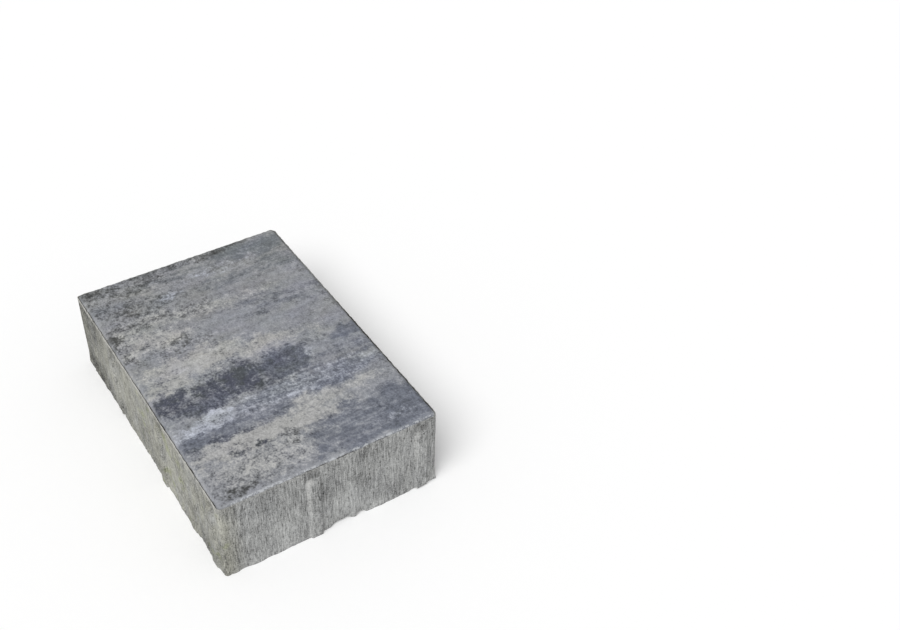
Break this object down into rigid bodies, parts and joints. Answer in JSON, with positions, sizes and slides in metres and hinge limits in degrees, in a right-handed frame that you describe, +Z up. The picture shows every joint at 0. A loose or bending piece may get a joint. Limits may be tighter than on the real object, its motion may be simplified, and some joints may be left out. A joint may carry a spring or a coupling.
{
  "type": "concrete paving stone",
  "caption": "Rectangular concrete paving stone with a bevelled wear face, rounded upright corners and spacer nibs down its side walls, laid beside like stones to pave ground.",
  "frame": {"origin": "middle of the bed face, on the ground that the stone lies on", "axes": "+Y along the stone's length, +X across it, +Z up out of the wear face"},
  "size_m": [0.202, 0.302, 0.08],
  "materials": {
    "concrete": "matt pressed concrete, streaked in greys on the wear face and dragged on the side walls"
  },
  "bodies": {
    "root": {"paving_stone": "concrete"}
  },
  "joints": []
}
